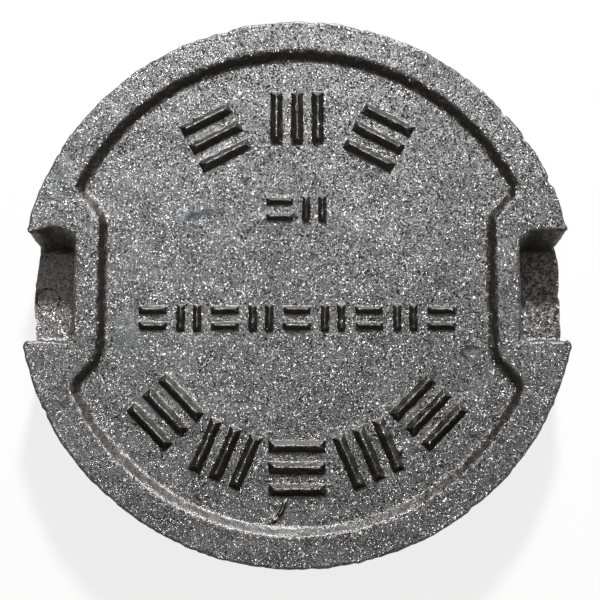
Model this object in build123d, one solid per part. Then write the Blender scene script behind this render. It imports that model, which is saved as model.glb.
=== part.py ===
from build123d import *
from math import cos, radians, sin, tan
import os

# Round cast-iron cover for a valve box, made as one casting.
# Millimetres, +Z up, X through the two lifting pockets.
# The origin is the middle of the flat bottom ring that the cover rests on.

# Outer body
TOP_RADIUS = 92.0
HEIGHT = 28.6
SIDE_DRAFT = 7.2
TOP_EDGE_ROUND = 1.2
BOTTOM_EDGE_BREAK = 0.9

# Sunk panel inside the raised rim
RIM_WIDTH = 10.4
PANEL_DEPTH = 3.0
PANEL_WALL_SLOPE = 42.5
POCKET_LAND = 7.75
PANEL_FLAT_END_Y = 22.9
JOG_ANGLE = 48.0
JOG_INNER_ROUND = 7.0
JOG_OUTER_ROUND = 5.5
PANEL_TOP_ROUND = 0.9
PANEL_FOOT_ROUND = 1.0

# Lifting pockets, open at the cover's side
POCKET_DEPTH = 19.0
POCKET_REACH = 18.3
POCKET_HALF_WIDTH = 18.9
POCKET_END_DRAFT = 9.5
POCKET_INNER_DRAFT = 5.0
POCKET_CORNER_ROUND = 3.6
POCKET_FLOOR_ROUND = 2.0
HORN_ROUND = 1.6

# Hollow underside
PLATE_THICKNESS = 9.0
SKIRT_FOOT_WIDTH = 8.2
HOLLOW_DRAFT = 6.0
HOLLOW_SETBACK = 0.65
HOLLOW_CEILING_BREAK = 2.6
HOLLOW_FOOT_BREAK = 0.9

# Raised tread bars, each a low hipped ridge
BAR_LENGTH = 18.6
BAR_WIDTH = 4.2
BAR_HEIGHT = 2.2
BAR_PITCH = 7.0
BAR_FLANK = 40.5
PAD_BARS = 3
UPPER_ARC_INSET = 23.1
UPPER_ARC_STEP = 28.0
UPPER_ARC_PADS = 3
LOWER_ARC_INSET = 22.0
LOWER_ARC_STEP = 23.0
LOWER_ARC_PADS = 5

# Small tread bars in the middle row and the upper pair
SMALL_LENGTH = 9.2
SMALL_WIDTH = 2.8
SMALL_HEIGHT = 1.6
SMALL_PITCH = 5.4
SMALL_FLANK = 37.5
SMALL_BARS = 2
ROW_PADS = 9
ROW_PITCH = 11.9
ROW_Y = -10.2
PAIR_PITCH = 11.4
PAIR_Y = 26.8

# Derived sizes
BOTTOM_RADIUS = TOP_RADIUS - HEIGHT * tan(radians(SIDE_DRAFT))
PANEL_RADIUS = TOP_RADIUS - RIM_WIDTH
PANEL_FLOOR_Z = HEIGHT - PANEL_DEPTH
POCKET_INNER_X = TOP_RADIUS - POCKET_REACH
PANEL_FLAT_X = POCKET_INNER_X - POCKET_LAND
POCKET_FLOOR_Z = HEIGHT - POCKET_DEPTH
HOLLOW_RADIUS = BOTTOM_RADIUS - SKIRT_FOOT_WIDTH
HOLLOW_DEPTH = PANEL_FLOOR_Z - PLATE_THICKNESS
HOLLOW_FLAT_X = PANEL_FLAT_X + HOLLOW_SETBACK
UPPER_ARC_RADIUS = PANEL_RADIUS - UPPER_ARC_INSET
LOWER_ARC_RADIUS = PANEL_RADIUS - LOWER_ARC_INSET


def near(value, target):
    """Whether two sizes agree."""
    return abs(value - target) < 0.02


def lobed_outline(radius, flat_x, flat_end_y, inner_round, outer_round):
    """Circle with a straight stretch at each side, joined to it by slanting jogs."""
    reach = 2 * TOP_RADIUS
    rise = (reach - flat_x) * tan(radians(JOG_ANGLE))
    ear = Polygon(
        (flat_x, -flat_end_y),
        (reach, -flat_end_y - rise),
        (reach, flat_end_y + rise),
        (flat_x, flat_end_y),
        align=None,
    )
    face = (Circle(radius) - ear - mirror(ear, about=Plane.YZ)).face()
    inner = [v for v in face.vertices() if near(abs(v.X), flat_x)]
    face = fillet(inner, inner_round).face()
    outer = [v for v in face.vertices() if near((v.X ** 2 + v.Y ** 2) ** 0.5, radius)]
    return fillet(outer, outer_round).face()


def outer_body():
    """Round slab whose side leans in towards the bottom."""
    side = Polyline((0, 0), (BOTTOM_RADIUS, 0), (TOP_RADIUS, HEIGHT), (0, HEIGHT), (0, 0))
    return revolve(Plane.XZ * make_face(side), Axis.Z)


def sunk_panel():
    """Tool that sinks the panel below the rim, with a sloping wall all round."""
    outline = lobed_outline(
        PANEL_RADIUS, PANEL_FLAT_X, PANEL_FLAT_END_Y, JOG_INNER_ROUND, JOG_OUTER_ROUND
    )
    outline = Pos(0, 0, HEIGHT) * outline
    return extrude(outline, amount=PANEL_DEPTH, dir=(0, 0, -1), taper=PANEL_WALL_SLOPE)


def under_hollow():
    """Tool that hollows the underside, leaving the skirt and a mass behind each pocket."""
    outline = lobed_outline(
        HOLLOW_RADIUS, HOLLOW_FLAT_X, PANEL_FLAT_END_Y, JOG_INNER_ROUND, JOG_OUTER_ROUND
    )
    tool = extrude(outline, amount=HOLLOW_DEPTH, taper=HOLLOW_DRAFT)
    return chamfer(tool.faces().sort_by(Axis.Z)[-1].edges(), HOLLOW_CEILING_BREAK)


def lifting_pocket():
    """Tool for one pocket, narrower at its floor than at its mouth."""
    foot_x = POCKET_INNER_X + POCKET_DEPTH * tan(radians(POCKET_INNER_DRAFT))
    foot_half = POCKET_HALF_WIDTH - POCKET_DEPTH * tan(radians(POCKET_END_DRAFT))
    outer_x = TOP_RADIUS + RIM_WIDTH
    along = Polygon(
        (POCKET_INNER_X, HEIGHT),
        (foot_x, POCKET_FLOOR_Z),
        (outer_x, POCKET_FLOOR_Z),
        (outer_x, HEIGHT),
        align=None,
    )
    across = Polygon(
        (-foot_half, POCKET_FLOOR_Z),
        (foot_half, POCKET_FLOOR_Z),
        (POCKET_HALF_WIDTH, HEIGHT),
        (-POCKET_HALF_WIDTH, HEIGHT),
        align=None,
    )
    tool = extrude(Plane.XZ * along, amount=POCKET_HALF_WIDTH, both=True)
    tool = tool & extrude(Plane.YZ * across, amount=outer_x)
    uprights = [e for e in tool.edges() if e.bounding_box().size.Z > POCKET_DEPTH / 2]
    return fillet([e for e in uprights if (e @ 0.5).X < foot_x], POCKET_CORNER_ROUND)


def hipped_bar(length, width, height, flank):
    """Low bar with steep flanks, standing on the panel."""
    return extrude(Rectangle(length, width), amount=height, taper=flank)


def tread_pad(bar, count, pitch):
    """Parallel bars side by side, lying along X and centred on the origin."""
    first = -pitch * (count - 1) / 2
    return [Pos(0, first + pitch * i, 0) * bar for i in range(count)]


def arc_of_pads(pad, radius, step, count, start_turn):
    """Pads round an arc, every other one turned by a quarter."""
    placed = []
    for i in range(count):
        bearing = start_turn + step * (i - (count - 1) / 2)
        x = radius * sin(radians(bearing))
        y = radius * cos(radians(bearing))
        turn = -bearing + 90 * (i % 2)
        spot = Pos(x, y, PANEL_FLOOR_Z) * Rot(0, 0, turn)
        placed += [spot * bar for bar in pad]
    return placed


def row_of_pads(pad, pitch, y, count):
    """Pads along a straight row, every other one turned by a quarter."""
    placed = []
    for i in range(count):
        x = pitch * (i - (count - 1) / 2)
        spot = Pos(x, y, PANEL_FLOOR_Z) * Rot(0, 0, 90 * (i % 2))
        placed += [spot * bar for bar in pad]
    return placed


def tread():
    """All the raised bars of the panel."""
    bar = hipped_bar(BAR_LENGTH, BAR_WIDTH, BAR_HEIGHT, BAR_FLANK)
    small = hipped_bar(SMALL_LENGTH, SMALL_WIDTH, SMALL_HEIGHT, SMALL_FLANK)
    pad = tread_pad(bar, PAD_BARS, BAR_PITCH)
    small_pad = tread_pad(small, SMALL_BARS, SMALL_PITCH)
    bars = arc_of_pads(pad, UPPER_ARC_RADIUS, UPPER_ARC_STEP, UPPER_ARC_PADS, 0)
    bars += arc_of_pads(pad, LOWER_ARC_RADIUS, LOWER_ARC_STEP, LOWER_ARC_PADS, 180)
    bars += row_of_pads(small_pad, ROW_PITCH, ROW_Y, ROW_PADS)
    bars += row_of_pads(small_pad, PAIR_PITCH, PAIR_Y, 2)
    return bars


def side_radius(z):
    """Radius of the leaning side at a height."""
    return TOP_RADIUS - (HEIGHT - z) * tan(radians(SIDE_DRAFT))


def on_side(point):
    """Whether a point lies on the leaning side."""
    return near((point.X ** 2 + point.Y ** 2) ** 0.5, side_radius(point.Z))


def round_pockets(body):
    """Rounds the horns beside each pocket, then the foot of the pocket walls."""
    horns = []
    for e in body.edges():
        box = e.bounding_box()
        if near(box.min.Z, POCKET_FLOOR_Z) and near(box.max.Z, HEIGHT):
            if on_side(e @ 0.5):
                horns.append(e)
    body = fillet(horns, HORN_ROUND)
    floors = [f for f in body.faces() if near(f.center().Z, POCKET_FLOOR_Z)]
    edges = [e for f in floors for e in f.edges()]
    return fillet([e for e in edges if not on_side(e @ 0.5)], POCKET_FLOOR_ROUND)


def round_rim(body):
    """Rounds the rim's outer edge with the pocket mouths, and the edge of the panel."""
    top = [f for f in body.faces() if near(f.center().Z, HEIGHT) and f.normal_at().Z > 0.99]
    rim = max(top, key=lambda f: f.area)
    body = fillet(rim.outer_wire().edges(), TOP_EDGE_ROUND)
    top = [f for f in body.faces() if near(f.center().Z, HEIGHT) and f.normal_at().Z > 0.99]
    rim = max(top, key=lambda f: f.area)
    return fillet(rim.inner_wires()[0].edges(), PANEL_TOP_ROUND)


def round_panel_foot(body):
    """Rounds the corner where the panel meets its wall."""
    floor = [f for f in body.faces() if near(f.center().Z, PANEL_FLOOR_Z) and f.normal_at().Z > 0.99]
    panel = max(floor, key=lambda f: f.area)
    return fillet(panel.outer_wire().edges(), PANEL_FOOT_ROUND)


def break_bottom(body):
    """Takes the sharpness off both edges of the bottom ring."""
    ring = body.faces().sort_by(Axis.Z)[0]
    body = chamfer(ring.outer_wire().edges(), BOTTOM_EDGE_BREAK)
    ring = body.faces().sort_by(Axis.Z)[0]
    return chamfer(ring.inner_wires()[0].edges(), HOLLOW_FOOT_BREAK)


def valve_box_cover():
    """The whole casting."""
    pocket = lifting_pocket()
    body = outer_body() - pocket - mirror(pocket, about=Plane.YZ)
    body = round_pockets(body)
    body = round_rim(body - sunk_panel())
    body = round_panel_foot(body)
    body = break_bottom(body - under_hollow())
    return body + tread()


if __name__ == "__main__":
    os.makedirs("parts", exist_ok=True)
    cover = valve_box_cover()
    print("solids", len(cover.solids()), "volume in cubic centimetres", round(cover.volume / 1000, 1))
    export_step(cover.solid(), "parts/valve_box_cover.step")
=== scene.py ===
"""Cast-iron valve box cover: the rough casting, its finish, and the stage it lies on."""

import math

import bmesh
import bpy
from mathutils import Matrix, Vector, kdtree, noise


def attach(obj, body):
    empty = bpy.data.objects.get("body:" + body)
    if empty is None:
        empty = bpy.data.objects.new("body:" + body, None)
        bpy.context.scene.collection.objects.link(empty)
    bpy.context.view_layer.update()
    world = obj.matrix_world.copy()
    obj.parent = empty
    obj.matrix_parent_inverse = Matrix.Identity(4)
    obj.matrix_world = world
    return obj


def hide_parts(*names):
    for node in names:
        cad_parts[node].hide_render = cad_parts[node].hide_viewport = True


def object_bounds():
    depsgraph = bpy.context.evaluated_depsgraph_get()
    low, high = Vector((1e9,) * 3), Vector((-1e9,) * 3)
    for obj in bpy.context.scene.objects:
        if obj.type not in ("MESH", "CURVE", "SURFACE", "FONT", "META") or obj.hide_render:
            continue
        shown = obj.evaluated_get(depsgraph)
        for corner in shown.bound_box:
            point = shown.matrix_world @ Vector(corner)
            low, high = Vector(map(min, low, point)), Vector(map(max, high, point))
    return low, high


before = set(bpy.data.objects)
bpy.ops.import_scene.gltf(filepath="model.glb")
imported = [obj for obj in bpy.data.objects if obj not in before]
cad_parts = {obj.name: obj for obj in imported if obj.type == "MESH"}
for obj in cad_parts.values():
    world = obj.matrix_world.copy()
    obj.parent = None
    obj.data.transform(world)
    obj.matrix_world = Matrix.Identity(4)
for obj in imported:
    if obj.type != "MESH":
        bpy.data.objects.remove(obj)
CAD_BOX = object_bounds()
COVER = "valve_box_cover"

bl_info = {
    "name": "Valve Box Cover",
    "version": (1, 0, 0),
    "blender": (4, 5, 0),
    "location": "3D View > Sidebar > Valve Cover",
    "description": "Dresses a cast-iron valve box cover and sets up its studio",
    "category": "Object",
}

# Sizes of the casting, in metres as are all sizes here. The rounding of its outer edge
# takes a little off the top face's radius, and the broken edge of its foot ends below
# the height FOOT_BREAK.
EDGE_ROUNDING = 0.00025
PANEL_DEPTH = 0.0030
POCKET_DEPTH = 0.0190
TOP_Z = CAD_BOX[1][2]
TOP_RADIUS = CAD_BOX[1][1] + EDGE_ROUNDING
PANEL_Z = TOP_Z - PANEL_DEPTH
POCKET_Z = TOP_Z - POCKET_DEPTH
FOOT_BREAK = 0.0009

# A point this close to the height of the foot, the panel or a pocket floor lies at it.
SLACK = 0.0002
POCKET_SLACK = 0.0003

# Faces farther out than this belong to the rim's outer edge or to the side.
SIDE_RADIUS = 0.0872

# The raised bars lie within this radius, and this far to either side of the middle.
BARS_RADIUS = 0.0765
BARS_HALF_WIDTH = 0.0628
BAR_EDGE_ANGLE = math.radians(20)

# The wall around the panel lies between these radii. It comes nearer to the middle only
# beside the pockets, and is left out where the pockets themselves begin.
WALL_OUTER_RADIUS = 0.0850
WALL_INNER_RADIUS = 0.0762
WALL_HALF_WIDTH = 0.0605
POCKET_START = 0.0695
POCKET_HALF_WIDTH = 0.0200
WALL_LINE_STEP = 0.0002

# Cells as fine as the wall's reach this far into the flats beside it, and out to this
# radius on steep faces.
UPRIGHT_CELLS = 1.6
UNSEEN_CELLS = 3
WALL_CELLS = 0.62
WALL_CELLS_REACH = 0.0038
WALL_CELLS_RADIUS = 0.0895
SHARP_ANGLE = math.radians(33)

# Waves of the sand-cast skin, of its steep faces and of its outer edge: size in metres,
# seed and share.
SKIN_WAVES = (
    (0.0110, 3.1, 0.55),
    (0.0042, 7.7, 0.90),
    (0.0019, 11.3, 0.75),
)
STEEP_WAVES = (
    (0.0015, 5.3, 1.60),
    (0.0030, 9.9, 1.00),
)
EDGE_WAVES = (
    (0.0060, 2.2, 0.50),
    (0.0017, 4.6, 0.35),
)

# How much fuller than its pattern the outer edge stands, and how far down and in.
EDGE_FILL = 0.0005
EDGE_FILL_DEPTH = 0.0016
EDGE_FILL_WIDTH = 0.0020

# How far in and how far down the chips of the outer edge reach, and how far down their
# cut would come on its way to the middle.
CHIP_WIDTH = 0.004
CHIP_DEPTH = 0.006
CHIP_LEAN = 0.004

# Thin raised fin across the foot of the panel: its two ends, its form, and how far around
# its middle the mesh is finer.
FIN_ENDS = ((-0.0040, -0.0706), (-0.0082, -0.0772))
FIN_HEIGHT = 0.0009
FIN_HALF_WIDTH = 0.00048
FIN_BOW = 0.0007
FIN_REACH = 0.0052

# Grooves of the witness marks: depth, half width of their floor, and of the whole groove.
GROOVE_DEPTH = 0.00012
GROOVE_FLOOR = 0.00012
GROOVE_HALF_WIDTH = 0.00042

# Outlines of the patches and marks: where their soft edge starts and ends, as shares of
# their half width, and the size and reach of the rags in it.
PATCH_EDGE = (0.55, 1.1)
RAG_SIZE = 0.0013
RAG_REACH = 0.0022

# Height of the coarse skin on upright faces.
UPRIGHT_ROUGHNESS = 0.00045

# Where each change of the finish starts and ends, by the Z of the skin's direction, which
# is 1 on flats and 0 on upright faces.
UPRIGHT_SLOPES = (0.30, 0.60)
RUST_SLOPES = (0.30, 0.50)
STEEP_SHADE_SLOPES = (0.70, 0.86)
GRAIN_SLOPES = (0.72, 0.90)
WORN_AND_SHEEN_SLOPES = (0.955, 0.985)

# Where the painted shade at the two ends of a pocket floor, in the corners against its end walls,
# starts, and where it is darkest.
UPPER_END_SHADE = (0.0040, 0.0190)
LOWER_END_SHADE = (-0.0140, -0.0165)

# Camera lens in millimetres, width of the square picture in pixels, and the pixel at
# which the middle of the top face lies in it, from the upper left corner.
LENS = 93.6
PICTURE_WIDTH = 600.0
MIDDLE_PIXEL = (297.1, 285.9)

# Chips in the outer edge: bearing in degrees from +X, depth and half width in metres.
EDGE_CHIPS = (
    (13.6, 0.0008, 0.0017),
    (22.8, 0.0012, 0.0012),
    (33.5, 0.0008, 0.0014),
    (40.3, 0.0013, 0.0011),
    (52.0, 0.0006, 0.0008),
    (76.0, 0.0005, 0.0007),
    (87.0, 0.0004, 0.0016),
    (105.5, 0.0005, 0.0016),
    (150.2, 0.0004, 0.0012),
    (166.6, 0.0006, 0.0018),
    (207.0, 0.0005, 0.0012),
    (229.5, 0.0004, 0.0020),
    (249.4, 0.0004, 0.0010),
    (277.4, 0.0004, 0.0010),
    (308.0, 0.0005, 0.0016),
)

# Bumps and dents left by the sand: x, y, radius and height in metres. The first two are
# sharp, so the mesh is finer around them.
CASTING_LUMPS = (
    (0.0283, -0.0489, 0.0019, 0.0013),
    (0.0334, -0.0543, 0.0014, 0.0006),
    (0.0560, 0.0120, 0.0050, -0.00025),
    (-0.0300, 0.0230, 0.0060, -0.00020),
    (0.0100, 0.0090, 0.0045, 0.00018),
    (-0.0470, -0.0230, 0.0055, 0.00020),
)

# Round witness marks: x, y, depth below the top face, and radius in metres.
WITNESS_RINGS = (
    (-0.0442, -0.0735, 0.0, 0.0027),
    (-0.0850, -0.0011, POCKET_DEPTH, 0.0039),
)

# Places where the casting stands off its pattern: x, y, depth below the top face,
# reach, and how far the skin is moved in x and y, in metres.
SKIN_NUDGES = (
    (-0.0812, 0.0190, 0.0020, 0.0030, 0.0000, 0.0010),
    (-0.0870, 0.0190, 0.0020, 0.0026, 0.0000, -0.0005),
    (-0.0755, 0.0185, 0.0020, 0.0018, 0.0000, -0.0007),
    (0.0750, 0.0178, 0.0020, 0.0020, 0.0012, -0.0010),
    (-0.0910, 0.0175, 0.0040, 0.0035, -0.0009, 0.0000),
    (0.0905, 0.0175, 0.0040, 0.0035, 0.0008, 0.0000),
    (0.0895, 0.0121, POCKET_DEPTH, 0.0045, 0.0008, 0.0000),
    (0.0893, -0.0143, POCKET_DEPTH, 0.0050, 0.0010, 0.0000),
    (0.0895, 0.0003, POCKET_DEPTH, 0.0012, -0.0006, 0.0000),
    (-0.0890, 0.0100, POCKET_DEPTH, 0.0060, 0.0004, 0.0000),
    (-0.0895, -0.0094, POCKET_DEPTH, 0.0012, 0.0009, 0.0000),
    (-0.0672, 0.0290, 0.0028, 0.0036, 0.0006, 0.0007),
    (-0.0830, -0.0189, 0.0010, 0.0070, 0.0000, 0.0007),
    (0.0830, -0.0189, 0.0010, 0.0070, 0.0000, 0.0007),
)

# Rubbed smooth patches of the skin: x, y, turn in degrees, length, width and strength.
SMOOTH_PATCHES = (
    (-0.0385, 0.0234, 60.0, 0.0060, 0.0022, 1.0),
    (-0.0108, 0.0275, 50.0, 0.0055, 0.0020, 1.0),
    (0.0576, -0.0218, 6.0, 0.0052, 0.0027, 1.0),
    (0.0600, -0.0320, 35.0, 0.0160, 0.0060, 0.6),
    (-0.0450, -0.0380, 20.0, 0.0260, 0.0140, 0.6),
    (-0.0700, -0.0400, 118.0, 0.0110, 0.0040, 1.0),
    (-0.0790, 0.0360, 60.0, 0.0160, 0.0080, 0.5),
    (-0.0560, -0.0150, 80.0, 0.0200, 0.0090, 0.5),
    (0.0230, 0.0330, 20.0, 0.0120, 0.0060, 0.4),
    (0.0300, -0.0350, -20.0, 0.0160, 0.0080, 0.4),
)

# Dark marks and scratches: x, y, turn in degrees, length, width and strength.
DARK_MARKS = (
    (-0.0360, 0.0240, 40.0, 0.0050, 0.0026, 1.0),
    (-0.0336, 0.0246, 15.0, 0.0048, 0.0034, 0.9),
    (-0.0304, 0.0256, 10.0, 0.0062, 0.0036, 0.75),
    (-0.0262, 0.0259, 10.0, 0.0056, 0.0032, 0.65),
    (-0.0350, 0.0210, 0.0, 0.0052, 0.0015, 0.8),
    (-0.0110, 0.0272, 50.0, 0.0050, 0.0012, 0.6),
    (0.0565, -0.0200, 8.0, 0.0038, 0.0022, 1.0),
    (0.0546, -0.0207, 45.0, 0.0046, 0.0012, 1.0),
    (0.0586, -0.0198, -32.0, 0.0042, 0.0011, 1.0),
    (0.0560, -0.0184, 20.0, 0.0040, 0.0010, 1.0),
    (0.0553, -0.0230, -24.0, 0.0032, 0.0011, 1.0),
    (-0.0161, 0.0193, 60.0, 0.0040, 0.0013, 1.0),
    (0.0056, 0.0114, -20.0, 0.0036, 0.0013, 1.0),
    (-0.0604, -0.0269, 30.0, 0.0024, 0.0016, 1.0),
    (-0.0791, -0.0339, 40.0, 0.0036, 0.0008, 0.8),
    (-0.0754, -0.0385, 60.0, 0.0060, 0.0022, 0.6),
    (0.0549, -0.0341, 15.0, 0.0064, 0.0010, 0.7),
    (0.0365, -0.0615, 0.0, 0.0018, 0.0012, 1.0),
    (0.0852, 0.0271, 30.0, 0.0032, 0.0016, 0.7),
    (0.0474, 0.0756, -35.0, 0.0180, 0.0090, 0.5),
    (0.0334, -0.0552, 10.0, 0.0030, 0.0009, 0.9),
)


def colour_setting(name, description, default):
    """Colour that a user can change."""
    return bpy.props.FloatVectorProperty(
        name=name,
        description=description,
        subtype="COLOR",
        size=3,
        min=0.0,
        max=1.0,
        default=default,
    )


def length_setting(name, description, default, least=0.0):
    """Length in metres that a user can change."""
    return bpy.props.FloatProperty(
        name=name,
        description=description,
        default=default,
        min=least,
        unit="LENGTH",
    )


def share_setting(name, description, default):
    """Number from 0 to 1 that a user can change."""
    return bpy.props.FloatProperty(
        name=name,
        description=description,
        subtype="FACTOR",
        default=default,
        min=0.0,
        max=1.0,
    )


def angle_setting(name, description, default):
    """Angle, given in degrees, that a user can change."""
    return bpy.props.FloatProperty(
        name=name,
        description=description,
        subtype="ANGLE",
        default=math.radians(default),
    )


class CastingSettings(bpy.types.PropertyGroup):
    """Sizes and colours of the casting"""

    iron_colour: colour_setting(
        "Iron colour", "Colour of the bare cast iron", (0.232, 0.232, 0.233)
    )
    rubbed_colour: colour_setting(
        "Rubbed colour",
        "Colour of the skin where it has been rubbed smooth",
        (0.190, 0.193, 0.198),
    )
    # Painted shade: dark colour of the steep faces, lighter where they face the key lamp.
    steep_shade_colour: colour_setting(
        "Grime colour",
        "Colour of the steep faces, which nothing rubs clean",
        (0.085, 0.082, 0.079),
    )
    rust_colour: colour_setting(
        "Rust colour",
        "Colour of the upright faces, down the side and in the pockets",
        (0.052, 0.042, 0.036),
    )
    stain_colour: colour_setting(
        "Stain colour", "Colour of the dark marks in the skin", (0.026, 0.027, 0.030)
    )
    pocket_colour: colour_setting(
        "Pocket colour",
        "Colour of the iron on the floors of the lifting pockets",
        (0.30, 0.297, 0.292),
    )
    # Lighter iron on the gently sloped, rounded edges: wear, and partly a painted highlight along
    # those edges.
    worn_and_sheen_colour: colour_setting(
        "Worn colour",
        "Colour of the edges, where feet and wheels have worn the skin",
        (0.23, 0.227, 0.224),
    )
    pore_colour: colour_setting(
        "Pore colour",
        "Colour of the iron down in the pores of its skin",
        (0.07, 0.062, 0.055),
    )
    cell: length_setting(
        "Mesh cell", "Spacing of the mesh that carries the rough skin", 0.0014, 0.0005
    )
    edge_round: length_setting(
        "Bar rounding", "Rounding of the edges of the raised bars", 0.00025
    )
    wall_spread: length_setting(
        "Wall spread",
        "Width over which the skin curves from the rim down to the panel",
        0.0041,
        0.001,
    )
    waviness: length_setting(
        "Waviness", "Height of the slow waves of the sand-cast skin", 0.00016
    )
    grain: length_setting("Grain", "Width of a sand grain's print", 0.0003, 0.0001)
    grain_share: share_setting(
        "Grain share", "Share of the skin's cells that carry a raised grain", 0.5
    )
    grain_lean: bpy.props.FloatProperty(
        name="Grain lean",
        description="How far the facets of the grains lean from the skin",
        default=0.9,
        min=0.0,
    )
    pit_depth: length_setting("Pit depth", "Depth of the pores between the grains", 0.00012)
    gloss_rough: share_setting(
        "Roughness", "Microscopic roughness of the skin between the grains", 0.45
    )
    grain_rough: share_setting(
        "Grain roughness", "Microscopic roughness of the rubbed facets of the grains", 0.3
    )
    metallic: share_setting("Metallic", "Share of bare metal", 1.0)


class StudioSettings(bpy.types.PropertyGroup):
    """Floor, room, lamp and camera"""

    floor_colour: colour_setting(
        "Floor colour", "Colour of the plain studio floor", (0.88, 0.88, 0.88)
    )
    floor_glow: share_setting(
        "Floor glow", "Share of plain white in what the camera sees of the floor", 0.82
    )
    room_colour: colour_setting(
        "Room colour", "Colour of the dim light from the room", (0.035, 0.032, 0.03)
    )
    ceiling_colour: colour_setting(
        "Ceiling colour", "Colour of the pale light from overhead", (0.8, 0.8, 0.8)
    )
    key_height: angle_setting(
        "Key lamp elevation", "Angle of the main lamp above the floor", 39.4
    )
    key_bearing: angle_setting(
        "Key lamp bearing", "Direction of the main lamp from +Y towards +X", 5.0
    )
    key_distance: length_setting(
        "Key lamp distance", "Distance of the main lamp from the cover", 1.8, 0.1
    )
    key_size: length_setting("Key lamp size", "Width of the round main lamp", 0.22, 0.01)
    key_power: bpy.props.FloatProperty(
        name="Key lamp power",
        description="Power of the main lamp in watts",
        default=46.0,
        min=0.0,
    )
    camera_tilt: angle_setting(
        "Camera tilt", "Angle of the camera off straight down, towards -Y", 11.27
    )
    camera_distance: length_setting(
        "Camera distance",
        "Distance of the camera from the middle of the top face",
        0.514,
        0.1,
    )


def new_object(name, bm):
    """Object that holds a finished bmesh, at the origin."""
    mesh = bpy.data.meshes.new(name)
    bm.to_mesh(mesh)
    bm.free()
    piece = bpy.data.objects.new(name, mesh)
    bpy.context.scene.collection.objects.link(piece)
    return piece


# Shape of the casting


def merged_casting():
    """Bmesh copy of the CAD cover with its seams merged and its flat faces whole."""
    bm = bmesh.new()
    bm.from_mesh(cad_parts[COVER].data)
    bmesh.ops.remove_doubles(bm, verts=bm.verts, dist=1e-6)
    bmesh.ops.dissolve_degenerate(bm, dist=1e-6, edges=bm.edges)
    bmesh.ops.dissolve_limit(
        bm,
        angle_limit=math.radians(0.4),
        use_dissolve_boundaries=False,
        verts=bm.verts,
        edges=bm.edges,
        delimit=set(),
    )
    return bm


def edge_middle(edge):
    """Point half way along an edge."""
    return (edge.verts[0].co + edge.verts[1].co) / 2


def round_raised_bars(bm, width):
    """Softens every sharp edge of the raised bars."""
    edges = []
    for edge in bm.edges:
        middle = edge_middle(edge)
        if len(edge.link_faces) != 2 or middle.z < PANEL_Z - SLACK:
            continue
        if math.hypot(middle.x, middle.y) < BARS_RADIUS and abs(middle.x) < BARS_HALF_WIDTH:
            if edge.calc_face_angle(0.0) > BAR_EDGE_ANGLE:
                edges.append(edge)
    bmesh.ops.bevel(
        bm,
        geom=edges,
        offset=width,
        offset_type="OFFSET",
        segments=2,
        profile=0.5,
        affect="EDGES",
        clamp_overlap=True,
        material=-1,
    )


def outer_side(face):
    """True for the faces of the rim's outer edge and of the cover's side, above its foot."""
    middle = face.calc_center_median()
    return math.hypot(middle.x, middle.y) > SIDE_RADIUS and middle.z > FOOT_BREAK


def down_to_pockets(z):
    """True at the height of the pocket floors and above."""
    return z > POCKET_Z - POCKET_SLACK


def faces_with_parts(faces):
    """The faces with their edges and corners, as a cut needs them."""
    edges = {e for f in faces for e in f.edges}
    verts = {v for f in faces for v in f.verts}
    return list(faces) + list(edges) + list(verts)


def cut_across(bm, geom, axis, low, high, step):
    """Cuts faces by evenly spaced planes across one axis."""
    normal = Vector((0, 0, 0))
    normal[axis] = 1
    count = int((high - low) / step)
    for i in range(1, count + 1):
        point = Vector((0, 0, 0))
        point[axis] = low + (high - low) * i / (count + 1)
        cut = bmesh.ops.bisect_plane(bm, geom=geom, dist=1e-7, plane_co=point, plane_no=normal)
        geom = cut["geom"]
    return geom


def refine(bm, cell):
    """Cuts the mesh into small cells, so that it can carry the rough skin."""
    low, high = CAD_BOX
    upper = []
    lower = []
    for face in bm.faces:
        seen = face.normal.z > -0.3 and down_to_pockets(face.calc_center_median().z)
        (upper if seen or outer_side(face) else lower).append(face)
    geom = faces_with_parts(upper)
    for axis in (0, 1):
        geom = cut_across(bm, geom, axis, low[axis], high[axis], cell)
    cut_across(bm, geom, 2, low[2], high[2], cell * UPRIGHT_CELLS)
    geom = faces_with_parts([f for f in lower if f.is_valid])
    for axis in (0, 1):
        geom = cut_across(bm, geom, axis, low[axis], high[axis], cell * UNSEEN_CELLS)


def on_panel_wall(x, y):
    """True over the ring between the rim and the panel, clear of the pockets and the bars."""
    radius = math.hypot(x, y)
    if radius > WALL_OUTER_RADIUS or (radius < WALL_INNER_RADIUS and abs(x) < WALL_HALF_WIDTH):
        return False
    return abs(x) < POCKET_START or abs(y) > POCKET_HALF_WIDTH


def wall_line(bm):
    """Search tree of close points along the line half way down the panel's wall."""
    half = (TOP_Z + PANEL_Z) / 2
    points = []
    for face in bm.faces:
        ends = []
        for edge in face.edges:
            a, b = (v.co for v in edge.verts)
            if (a.z - half) * (b.z - half) < 0:
                ends.append(a.lerp(b, (half - a.z) / (b.z - a.z)))
        if len(ends) == 2 and on_panel_wall(ends[0].x, ends[0].y):
            steps = int((ends[1] - ends[0]).length / WALL_LINE_STEP) + 2
            points += [ends[0].lerp(ends[1], i / (steps - 1)) for i in range(steps)]
    tree = kdtree.KDTree(len(points))
    for i, point in enumerate(points):
        tree.insert((point.x, point.y, 0.0), i)
    tree.balance()
    return tree


def refine_walls(bm, limit, tree):
    """Divides the steep faces that are seen, and the flats beside the panel's wall."""
    edges = set()
    for face in bm.faces:
        middle = face.calc_center_median()
        inside = math.hypot(middle.x, middle.y) < WALL_CELLS_RADIUS
        steep = 0.985 > face.normal.z > -0.1 and down_to_pockets(middle.z)
        away = tree.find((middle.x, middle.y, 0.0))[2]
        beside = middle.z > PANEL_Z - SLACK and away < WALL_CELLS_REACH
        if (steep and inside) or (beside and face.normal.z > 0):
            edges.update(e for e in face.edges if e.calc_length() > limit)
    bmesh.ops.subdivide_edges(bm, edges=list(edges), cuts=1, use_grid_fill=True)


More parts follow.
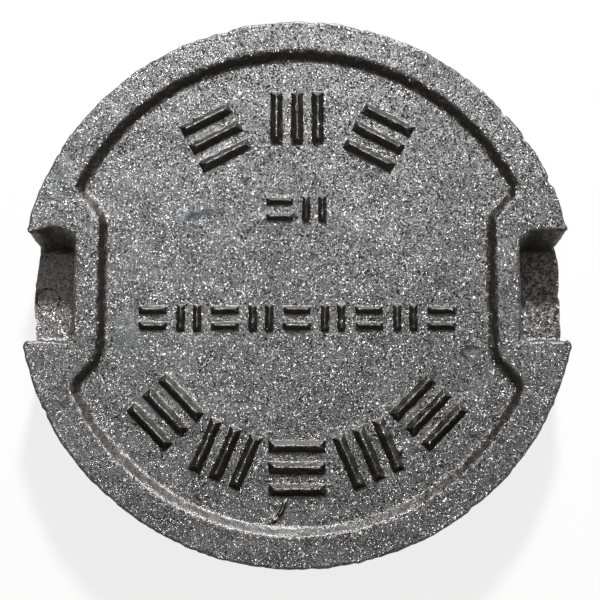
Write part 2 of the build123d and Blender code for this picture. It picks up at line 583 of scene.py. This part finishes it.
def spread_wall(bm, tree, width):
    """Curves the skin from the rim down to the panel in one wide sweep."""
    half = (TOP_Z + PANEL_Z) / 2
    for vert in bm.verts:
        x, y, z = vert.co
        if z < PANEL_Z - SLACK or not on_panel_wall(x, y):
            continue
        away = tree.find((x, y, 0.0))[2]
        if away < width / 2:
            share = 0.5 + math.copysign(away, z - half) / width
            vert.co.z = PANEL_Z + (TOP_Z - PANEL_Z) * share * share * (3 - 2 * share)


def refine_spot(bm, x, y, reach, cuts):
    """Divides the top skin again within reach of a small mark."""
    edges = []
    for edge in bm.edges:
        middle = edge_middle(edge)
        if down_to_pockets(middle.z) and math.hypot(middle.x - x, middle.y - y) < reach:
            edges.append(edge)
    made = bmesh.ops.subdivide_edges(bm, edges=edges, cuts=cuts, use_grid_fill=True)
    wide = [f for f in made["geom"] if isinstance(f, bmesh.types.BMFace) and len(f.verts) > 3]
    bmesh.ops.triangulate(bm, faces=wide, quad_method="SHORT_EDGE", ngon_method="BEAUTY")


def mark_sharp_edges(bm, angle):
    """Keeps the shading crisp across the casting's sharp edges, and smooth elsewhere."""
    for edge in bm.edges:
        if len(edge.link_faces) == 2 and edge.calc_face_angle(0.0) > angle:
            edge.smooth = False
    for face in bm.faces:
        face.smooth = True


def wave(point, size, seed):
    """Smooth random height from -1 to 1 at a point, for features of one size."""
    return noise.noise((point + Vector((seed, seed * 0.37, -seed))) / size)


def waves(point, table):
    """Height at a point of the waves of a table, each of its own size and share."""
    return sum(share * wave(point, size, seed) for size, seed, share in table)


def chip_depth(point):
    """How deep the chips in the outer edge cut at a point."""
    if math.hypot(point.x, point.y) < TOP_RADIUS - CHIP_WIDTH:
        return 0.0
    bearing = math.degrees(math.atan2(point.y, point.x)) % 360
    depth = 0.0
    for at, deep, half in EDGE_CHIPS:
        along = math.radians((bearing - at + 180) % 360 - 180) * TOP_RADIUS
        if abs(along) < 3 * half:
            fade = max(0.0, 1 - (TOP_Z - point.z) / CHIP_DEPTH)
            depth += deep * math.exp(-((along / half) ** 2)) * fade
    return depth


def lump_height(point):
    """Height of the bumps and dents at a point."""
    height = 0.0
    for x, y, radius, rise in CASTING_LUMPS:
        away = math.hypot(point.x - x, point.y - y) / radius
        if away < 2.2:
            height += rise * math.exp(-(away ** 2) * 1.6)
    return height


def fin_height(point):
    """Height of the thin raised fin at a point."""
    start, end = (Vector(corner) for corner in FIN_ENDS)
    run = end - start
    here = Vector((point.x, point.y)) - start
    along = here.dot(run) / run.length_squared
    if along < -0.1 or along > 1.1:
        return 0.0
    bow = FIN_BOW * math.sin(math.pi * min(max(along, 0.0), 1.0))
    off = here.dot(Vector((-run.y, run.x)).normalized()) - bow
    taper = min(1.0, max(0.0, along + 0.1) * 6, max(0.0, 1.1 - along) * 4)
    return FIN_HEIGHT * taper * math.exp(-((off / FIN_HALF_WIDTH) ** 2))


def nudge(point):
    """How far the casting's own faults move its skin at a point."""
    moved = Vector((0, 0, 0))
    for x, y, deep, reach, along_x, along_y in SKIN_NUDGES:
        away = Vector((point.x - x, point.y - y, (point.z - TOP_Z + deep) / 3)).length / reach
        if away < 2.4:
            moved += Vector((along_x, along_y, 0)) * math.exp(-(away ** 2))
    return moved


def edge_fill(point, out):
    """How far the rounded outer edge stands fuller than its pattern at a point."""
    inside = math.hypot(point.x, point.y) < TOP_RADIUS - EDGE_FILL_WIDTH
    if point.z < TOP_Z - EDGE_FILL_DEPTH or inside:
        return 0.0
    share = 0.7 + waves(Vector((point.x, point.y, 0)), EDGE_WAVES)
    return EDGE_FILL * share * min(1.0, 4 * out.z * (1 - out.z))


def skin_shift(co, out, waviness):
    """How far a point of the skin moves, from its place and the skin's direction there."""
    if co.z < SLACK:
        return Vector((0, 0, 0))
    shift = out * (waviness * waves(co, SKIN_WAVES) - waviness * 0.3)
    if down_to_pockets(co.z) or math.hypot(co.x, co.y) > SIDE_RADIUS:
        steep = min(1.0, max(0.0, 1.0 - out.z) * 3)
        shift += out * steep * waviness * waves(co, STEEP_WAVES)
        shift += nudge(co)
        shift += out * edge_fill(co, out)
    if co.z > PANEL_Z - SLACK and out.z > 0.2:
        shift.z += lump_height(co) + fin_height(co)
    return shift - Vector((co.x, co.y, CHIP_LEAN)).normalized() * chip_depth(co)


def roughen(bm, waviness):
    """Moves the skin by the sand's waves, and adds the chips, bumps, dents and the fin."""
    bm.normal_update()
    moves = [skin_shift(vert.co, vert.normal, waviness) for vert in bm.verts]
    for vert, shift in zip(bm.verts, moves):
        vert.co += shift


# Finish of the casting


class Nodes:
    """Short ways to add nodes and links to one material or world."""

    def __init__(self, owner):
        owner.use_nodes = True
        self.tree = owner.node_tree
        self.tree.nodes.clear()

    def add(self, kind, **settings):
        """New node with its settings."""
        node = self.tree.nodes.new(kind)
        for key, value in settings.items():
            setattr(node, key, value)
        return node

    def put(self, value, socket):
        """Links an output to a socket, or sets the socket's own value."""
        if isinstance(value, bpy.types.NodeSocket):
            self.tree.links.new(value, socket)
        else:
            socket.default_value = value

    def math(self, operation, *values):
        """Result of one sum on numbers."""
        node = self.add("ShaderNodeMath", operation=operation)
        for value, socket in zip(values, node.inputs):
            self.put(value, socket)
        return node.outputs[0]

    def vector(self, operation, *values):
        """Result of one sum on vectors."""
        node = self.add("ShaderNodeVectorMath", operation=operation)
        for value, socket in zip(values, node.inputs):
            self.put(value, socket)
        return node.outputs["Vector"]

    def scaled(self, vector, factor):
        """A vector times a factor."""
        node = self.add("ShaderNodeVectorMath", operation="SCALE")
        self.put(vector, node.inputs[0])
        self.put(factor, node.inputs["Scale"])
        return node.outputs["Vector"]

    def distance(self, place, spot):
        """Distance from a spot."""
        node = self.add("ShaderNodeVectorMath", operation="DISTANCE")
        self.put(place, node.inputs[0])
        self.put(spot, node.inputs[1])
        return node.outputs["Value"]

    def separate(self, vector):
        """The X, Y and Z of a vector, as the outputs of a node."""
        node = self.add("ShaderNodeSeparateXYZ")
        self.put(vector, node.inputs[0])
        return node.outputs

    def noise(self, place, scale, detail, roughness=0.5, distortion=0.0):
        """Smooth noise from about 0 to 1."""
        node = self.add("ShaderNodeTexNoise")
        node.inputs["Scale"].default_value = scale
        node.inputs["Detail"].default_value = detail
        node.inputs["Roughness"].default_value = roughness
        node.inputs["Distortion"].default_value = distortion
        self.put(place, node.inputs["Vector"])
        return node.outputs["Fac"]

    def range(self, value, from_low, from_high, to_low=0.0, to_high=1.0, kind="LINEAR"):
        """A value moved from one range to another, and held within it."""
        node = self.add("ShaderNodeMapRange", interpolation_type=kind)
        self.put(value, node.inputs[0])
        for i, number in enumerate((from_low, from_high, to_low, to_high)):
            node.inputs[i + 1].default_value = number
        return node.outputs[0]

    def mix_colour(self, factor, a, b):
        """Colour a where the factor is 0, and colour b where it is 1."""
        node = self.add("ShaderNodeMix", data_type="RGBA")
        self.put(factor, node.inputs["Factor"])
        for value, socket in ((a, node.inputs[6]), (b, node.inputs[7])):
            output = isinstance(value, bpy.types.NodeSocket)
            self.put(value if output else (*value, 1.0), socket)
        return node.outputs[2]

    def mix_shader(self, factor, a, b):
        """Shader a where the factor is 0, and shader b where it is 1."""
        node = self.add("ShaderNodeMixShader")
        for value, socket in zip((factor, a, b), node.inputs):
            self.put(value, socket)
        return node.outputs[0]

    def seen(self):
        """1 for what the camera sees, straight or in gloss and glass, and 0 for other light."""
        rays = self.add("ShaderNodeLightPath").outputs
        seen = self.math("MAXIMUM", rays["Is Camera Ray"], rays["Is Glossy Ray"])
        return self.math("MAXIMUM", seen, rays["Is Transmission Ray"])


def toned(colour, factor):
    """A colour made darker or lighter by a factor."""
    return tuple(part * factor for part in colour)


def facets(n, place, size, share, lean):
    """Small facets on part of the skin's cells: how they lean, and where they are."""
    node = n.add("ShaderNodeTexVoronoi")
    node.inputs["Scale"].default_value = 1.0 / size
    n.put(place, node.inputs["Vector"])
    chance = n.add("ShaderNodeTexWhiteNoise")
    n.put(node.outputs["Position"], chance.inputs["Vector"])
    there = n.range(chance.outputs["Value"], 1.0 - share, 1.0 - share * 0.9)
    centred = n.vector("SUBTRACT", node.outputs["Color"], (0.5, 0.5, 0.5))
    return n.scaled(n.scaled(centred, lean * 2), there), there


def patches(n, place, table):
    """Soft-edged ovals at the places of a table, each as strong as it says."""
    total = None
    for x, y, turn, length, width, strength in table:
        node = n.add("ShaderNodeMapping", vector_type="TEXTURE")
        node.inputs["Location"].default_value = (x, y, 0.0)
        node.inputs["Rotation"].default_value = (0.0, 0.0, math.radians(turn))
        node.inputs["Scale"].default_value = (length / 2, width / 2, 1.0)
        n.put(place, node.inputs["Vector"])
        away = n.add("ShaderNodeVectorMath", operation="LENGTH")
        n.put(node.outputs[0], away.inputs[0])
        here = n.range(away.outputs["Value"], *PATCH_EDGE, strength, 0.0, "SMOOTHSTEP")
        total = here if total is None else n.math("MAXIMUM", total, here)
    return total


def shaken(n, place, size, amount):
    """Object coordinates shaken by noise, so that shapes get ragged outlines."""
    shake = n.add("ShaderNodeTexNoise")
    shake.inputs["Scale"].default_value = 1.0 / size
    shake.inputs["Detail"].default_value = 1.5
    n.put(place, shake.inputs["Vector"])
    offset = n.vector("SUBTRACT", shake.outputs["Color"], (0.5, 0.5, 0.5))
    return n.vector("ADD", place, n.scaled(offset, amount))


def ring_grooves(n, place):
    """Thin round grooves of the witness marks, 1 at their middle line."""
    total = None
    for x, y, deep, radius in WITNESS_RINGS:
        away = n.distance(place, (x, y, TOP_Z - deep))
        off = n.math("ABSOLUTE", n.math("SUBTRACT", away, radius))
        here = n.range(off, GROOVE_FLOOR, GROOVE_HALF_WIDTH, 1.0, 0.0, "SMOOTHSTEP")
        total = here if total is None else n.math("MAXIMUM", total, here)
    return total


def busy_share(n, place, at, slope, calm):
    """How grainy the skin is: most at the upper right, least on calm spots and steep faces."""
    zone = n.noise(place, 70.0, 3.0, 0.6)
    zone = n.math("ADD", zone, n.math("MULTIPLY", at["X"], 1.7))
    zone = n.math("ADD", zone, at["Y"])
    busy = n.range(zone, 0.30, 0.66, 0.36, 1.0, "SMOOTHSTEP")
    busy = n.math("MULTIPLY", busy, n.range(calm, 0.0, 1.0, 1.0, 0.12))
    return n.math("MULTIPLY", busy, n.range(slope["Z"], *GRAIN_SLOPES, 0.25, 1.0))


def grain_facets(n, place, busy, settings):
    """Fine and coarse facets of the sand grains: how they lean, and where they shine."""
    grain = settings.grain
    ragged = shaken(n, place, grain * 1.4, grain * 1.6)
    share = settings.grain_share
    fine, fine_there = facets(n, ragged, grain, share, settings.grain_lean)
    coarse, coarse_there = facets(n, ragged, grain * 2.0, share * 0.3, settings.grain_lean)
    lean = n.scaled(n.vector("ADD", fine, coarse), busy)
    return lean, n.math("MULTIPLY", n.math("MAXIMUM", fine_there, coarse_there), busy)


def skin_bump(n, place, slope, skin, rings, normal, settings):
    """The skin's direction with its pores, the witness marks and the rough upright faces."""
    height = n.math("MULTIPLY", skin, settings.pit_depth)
    height = n.math("SUBTRACT", height, n.math("MULTIPLY", rings, GROOVE_DEPTH))
    side = n.range(slope["Z"], *UPRIGHT_SLOPES, UPRIGHT_ROUGHNESS, 0.0)
    rough = n.math("MULTIPLY", n.noise(place, 620.0, 5.0, 0.68), side)
    bump = n.add("ShaderNodeBump")
    bump.inputs["Strength"].default_value = 1.0
    bump.inputs["Distance"].default_value = 1.0
    n.put(n.math("ADD", height, rough), bump.inputs["Height"])
    n.put(normal, bump.inputs["Normal"])
    return bump.outputs["Normal"]


def flat_iron(n, place, at, slope, smooth, pores, settings):
    """Iron of the flats, in two tones at random and painted darker towards -Y as painted shade,
    with rubbed spots, worn edges that also carry a painted highlight, and dark pores.
    """
    tone_and_shade = n.noise(place, 55.0, 4.0, 0.6)
    # Painted shade: the iron darkens towards -Y, away from the key lamp.
    tone_and_shade = n.range(n.math("ADD", tone_and_shade, n.math("MULTIPLY", at["Y"], 1.8)), 0.3, 0.7)
    iron = n.mix_colour(tone_and_shade, toned(settings.iron_colour, 0.84), settings.iron_colour)
    iron = n.mix_colour(smooth, iron, settings.rubbed_colour)
    # Worn edges, lighter: wear, and partly a painted highlight on the rounded edges.
    bend = n.range(slope["Z"], *WORN_AND_SHEEN_SLOPES, 1.0, 0.0, "SMOOTHSTEP")
    above_pockets = n.range(at["Z"], TOP_Z - 0.0050, TOP_Z - 0.0035)
    worn = n.math("MULTIPLY", bend, above_pockets)
    iron = n.mix_colour(worn, iron, settings.worn_and_sheen_colour)
    return n.mix_colour(pores, settings.pore_colour, iron)


def steep_shaded_iron(n, slope, wall, pores, flats, settings):
    """The flats' iron, with painted shade on the steep faces, less of it on those facing the key
    lamp, towards +Y.
    """
    steep_shade = n.mix_colour(pores, toned(settings.steep_shade_colour, 0.5), settings.steep_shade_colour)
    facing = n.math("ADD", slope["Y"], n.math("MULTIPLY", slope["X"], 0.35))
    # Steep faces that face the key lamp, towards +Y and a little +X, get less painted shade.
    clean = n.range(facing, 0.28, 0.58, 0.0, 0.75)
    return n.mix_colour(n.math("MAXIMUM", wall, clean), steep_shade, flats)


def rusty_iron(n, place, upright, pores, colour, settings):
    """The iron so far, with mottled rust on the upright faces."""
    bloom = n.range(n.noise(place, 190.0, 5.0, 0.7), 0.36, 0.64, 0.0, 1.0, "SMOOTHSTEP")
    rust = settings.rust_colour
    mottled = n.mix_colour(bloom, toned(rust, 0.55), toned(rust, 1.5))
    mottled = n.mix_colour(pores, toned(rust, 0.4), mottled)
    return n.mix_colour(n.range(upright, *RUST_SLOPES), mottled, colour)


def pocket_floors(n, place, at, wall, colour, settings):
    """Paler, mottled iron on the pocket floors, dirtier to the right, with painted shade at both
    ends against the end walls.
    """
    floor = n.range(at["Z"], POCKET_Z + 0.0025, POCKET_Z + 0.0040, 1.0, 0.0)
    floor = n.math("MULTIPLY", floor, wall)
    blots = n.range(n.noise(place, 1000.0, 2.0, 0.6), 0.42, 0.58, 1.0, 0.0, "SMOOTHSTEP")
    side = n.range(at["X"], -0.07, 0.07, 0.5, 0.9)
    # Painted shade towards both ends of the floor, in its corners against the end walls.
    upper = n.range(at["Y"], *UPPER_END_SHADE, 0.0, 0.65)
    lower = n.range(at["Y"], *LOWER_END_SHADE, 0.0, 0.9)
    blots = n.math("MULTIPLY", blots, side)
    blots_and_shade = n.math("MAXIMUM", blots, n.math("MAXIMUM", upper, lower))
    blotched_and_shaded = n.mix_colour(blots_and_shade, settings.pocket_colour, settings.pore_colour)
    return n.mix_colour(floor, colour, blotched_and_shaded)


def stains(n, place, marks, rings, settings):
    """How far the dark marks and the witness marks stain the skin."""
    specks = n.noise(place, 1.1 / settings.grain, 2.0, 0.6)
    speckle = n.range(specks, 0.40, 0.56, 0.0, 1.0, "SMOOTHSTEP")
    stain = n.math("MULTIPLY", marks, n.range(speckle, 0.0, 1.0, 0.55, 1.0))
    broken = n.range(n.noise(place, 420.0, 1.0), 0.40, 0.60, 0.0, 1.0, "SMOOTHSTEP")
    return n.math("MAXIMUM", stain, n.math("MULTIPLY", rings, broken))


def rough_iron(settings):
    """Bare sand-cast iron: a satin skin with small glinting grains and dark pores."""
    material = bpy.data.materials.new("rough_cast_iron")
    n = Nodes(material)
    place = n.add("ShaderNodeTexCoord").outputs["Object"]
    normal = n.add("ShaderNodeNewGeometry").outputs["Normal"]
    at = n.separate(place)
    slope = n.separate(normal)
    torn = shaken(n, place, RAG_SIZE, RAG_REACH)
    smooth = patches(n, torn, SMOOTH_PATCHES)
    marks = patches(n, torn, DARK_MARKS)
    rings = ring_grooves(n, place)

    busy = busy_share(n, place, at, slope, n.math("MAXIMUM", smooth, marks))
    lean, shine = grain_facets(n, place, busy, settings)
    faceted = n.vector("NORMALIZE", n.vector("ADD", normal, lean))
    skin = n.noise(place, 0.8 / settings.grain, 4.0, 0.62, 0.2)

    pores = n.math("ADD", skin, n.math("MULTIPLY", at["Y"], 0.25))
    pores = n.range(pores, 0.33, 0.44, 0.0, 1.0, "SMOOTHSTEP")
    shake = n.range(n.noise(place, 1500.0, 2.0), 0.3, 0.7, -0.07, 0.07)
    upright = n.math("ADD", slope["Z"], shake)
    # 1 on flats; the steep faces get the painted shade.
    wall = n.range(upright, *STEEP_SHADE_SLOPES, 0.0, 1.0, "SMOOTHSTEP")
    colour = flat_iron(n, place, at, slope, smooth, pores, settings)
    colour = steep_shaded_iron(n, slope, wall, pores, colour, settings)
    colour = rusty_iron(n, place, upright, pores, colour, settings)
    colour = pocket_floors(n, place, at, wall, colour, settings)
    colour = n.mix_colour(stains(n, place, marks, rings, settings), colour, settings.stain_colour)

    shader = n.add("ShaderNodeBsdfPrincipled")
    metal = n.range(upright, *UPRIGHT_SLOPES, 0.0, settings.metallic)
    n.put(metal, shader.inputs["Metallic"])
    n.put(colour, shader.inputs["Base Color"])
    roughness = n.range(shine, 0.0, 0.6, settings.gloss_rough, settings.grain_rough)
    n.put(roughness, shader.inputs["Roughness"])
    bump = skin_bump(n, place, slope, skin, rings, faceted, settings)
    n.put(bump, shader.inputs["Normal"])
    out = n.add("ShaderNodeOutputMaterial")
    n.put(shader.outputs[0], out.inputs["Surface"])
    return material


class VALVECOVER_OT_casting(bpy.types.Operator):
    """Makes the rough sand-cast cover in place of the plain one"""

    bl_idname = "valvecover.casting"
    bl_label = "Cast cover"

    def execute(self, context):
        settings = context.scene.valve_casting
        bm = merged_casting()
        round_raised_bars(bm, settings.edge_round)
        bm.normal_update()
        cell = settings.cell * 1.0
        refine(bm, cell)
        tree = wall_line(bm)
        bm.normal_update()
        refine_walls(bm, cell * WALL_CELLS, tree)
        spread_wall(bm, tree, settings.wall_spread)
        for x, y, radius, _ in CASTING_LUMPS[:2]:
            refine_spot(bm, x, y, radius * 2, 2)
        middle = (Vector(FIN_ENDS[0]) + Vector(FIN_ENDS[1])) / 2
        refine_spot(bm, middle.x, middle.y, FIN_REACH, 3)
        bm.normal_update()
        mark_sharp_edges(bm, SHARP_ANGLE)
        roughen(bm, settings.waviness)
        piece = new_object("rough_casting", bm)
        piece.data.materials.clear()
        piece.data.materials.append(rough_iron(settings))
        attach(piece, "root")
        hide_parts(COVER)
        return {"FINISHED"}


# Studio


def studio_floor(colour, glow_share):
    """Wide pale floor, nearly white to the camera and clear from below, that keeps shadows."""
    bm = bmesh.new()
    bmesh.ops.create_grid(bm, x_segments=1, y_segments=1, size=6.0)
    floor = new_object("studio_floor", bm)
    material = bpy.data.materials.new("studio_floor")
    n = Nodes(material)
    diffuse = n.add("ShaderNodeBsdfDiffuse")
    diffuse.inputs["Color"].default_value = (*colour, 1.0)
    glow = n.add("ShaderNodeEmission")
    glow.inputs["Color"].default_value = (1.0, 1.0, 1.0, 1.0)
    glow.inputs["Strength"].default_value = 1.0
    share = n.math("MULTIPLY", n.seen(), glow_share)
    above = n.mix_shader(share, diffuse.outputs[0], glow.outputs[0])
    behind = n.add("ShaderNodeNewGeometry").outputs["Backfacing"]
    clear = n.add("ShaderNodeBsdfTransparent").outputs[0]
    out = n.add("ShaderNodeOutputMaterial")
    n.put(n.mix_shader(behind, above, clear), out.inputs["Surface"])
    floor.data.materials.append(material)


def studio_world(room_colour, ceiling_colour):
    """Dim room, pale overhead, with a white backdrop low down for the camera and gloss."""
    world = bpy.data.worlds.new("studio_room")
    bpy.context.scene.world = world
    n = Nodes(world)
    up = n.separate(n.add("ShaderNodeTexCoord").outputs["Generated"])["Z"]
    low = n.range(up, 0.05, 0.2, 1.0, 0.0, "SMOOTHSTEP")
    high = n.range(up, 0.80, 1.0, 0.0, 1.0, "SMOOTHSTEP")
    room = n.add("ShaderNodeBackground")
    n.put(n.mix_colour(high, room_colour, ceiling_colour), room.inputs["Color"])
    backdrop = n.add("ShaderNodeBackground")
    backdrop.inputs["Color"].default_value = (1.0, 1.0, 1.0, 1.0)
    share = n.math("MULTIPLY", n.seen(), low)
    out = n.add("ShaderNodeOutputWorld")
    n.put(n.mix_shader(share, room.outputs[0], backdrop.outputs[0]), out.inputs["Surface"])


def lamp(name, position, target, size, power):
    """Round studio lamp that points at a target."""
    data = bpy.data.lights.new(name, "AREA")
    data.shape = "DISK"
    data.size = size
    data.energy = power
    lamp_object = bpy.data.objects.new(name, data)
    lamp_object.location = position
    lamp_object.rotation_euler = (target - position).to_track_quat("-Z", "Y").to_euler()
    bpy.context.scene.collection.objects.link(lamp_object)


def studio_camera(tilt, distance):
    """Camera above the cover, tipped a little towards -Y."""
    data = bpy.data.cameras.new("studio_camera")
    data.sensor_width = 36.0
    data.lens = LENS
    data.clip_start = 0.01
    data.shift_x = (PICTURE_WIDTH / 2 - MIDDLE_PIXEL[0]) / PICTURE_WIDTH
    data.shift_y = (MIDDLE_PIXEL[1] - PICTURE_WIDTH / 2) / PICTURE_WIDTH
    camera = bpy.data.objects.new("studio_camera", data)
    target = Vector((0, 0, TOP_Z))
    camera.location = target + distance * Vector((0, -math.sin(tilt), math.cos(tilt)))
    camera.rotation_euler = (tilt, 0.0, 0.0)
    bpy.context.scene.collection.objects.link(camera)
    bpy.context.scene.camera = camera


class VALVECOVER_OT_studio(bpy.types.Operator):
    """Sets up the floor, the room, the lamp and the camera"""

    bl_idname = "valvecover.studio"
    bl_label = "Studio"

    def execute(self, context):
        settings = context.scene.valve_studio
        context.scene.view_settings.view_transform = "Standard"
        studio_floor(settings.floor_colour, settings.floor_glow)
        studio_world(settings.room_colour, settings.ceiling_colour)
        up = settings.key_height
        side = settings.key_bearing
        aim = Vector((math.sin(side) * math.cos(up), math.cos(side) * math.cos(up), math.sin(up)))
        middle = Vector((0, 0, TOP_Z))
        position = middle + aim * settings.key_distance
        lamp("key_lamp", position, middle, settings.key_size, settings.key_power)
        studio_camera(settings.camera_tilt, settings.camera_distance)
        return {"FINISHED"}


class VALVECOVER_PT_panel(bpy.types.Panel):
    """Buttons for the valve box cover"""

    bl_idname = "VALVECOVER_PT_panel"
    bl_label = "Valve Box Cover"
    bl_space_type = "VIEW_3D"
    bl_region_type = "UI"
    bl_category = "Valve Cover"

    def draw(self, context):
        layout = self.layout
        for settings in (context.scene.valve_casting, context.scene.valve_studio):
            box = layout.box()
            for key in settings.__annotations__:
                box.prop(settings, key)
        for operator in OPERATORS:
            layout.operator(operator.bl_idname)


OPERATORS = (VALVECOVER_OT_casting, VALVECOVER_OT_studio)
CLASSES = (CastingSettings, StudioSettings, *OPERATORS, VALVECOVER_PT_panel)


def register():
    """Adds the classes and the scene's settings."""
    for cls in CLASSES:
        bpy.utils.register_class(cls)
    bpy.types.Scene.valve_casting = bpy.props.PointerProperty(type=CastingSettings)
    bpy.types.Scene.valve_studio = bpy.props.PointerProperty(type=StudioSettings)


def unregister():
    """Takes the settings and the classes away again."""
    del bpy.types.Scene.valve_studio
    del bpy.types.Scene.valve_casting
    for cls in reversed(CLASSES):
        bpy.utils.unregister_class(cls)


def main():
    """Makes the cover and the studio."""
    register()
    bpy.ops.valvecover.casting()
    bpy.ops.valvecover.studio()


if __name__ == "__main__":
    main()
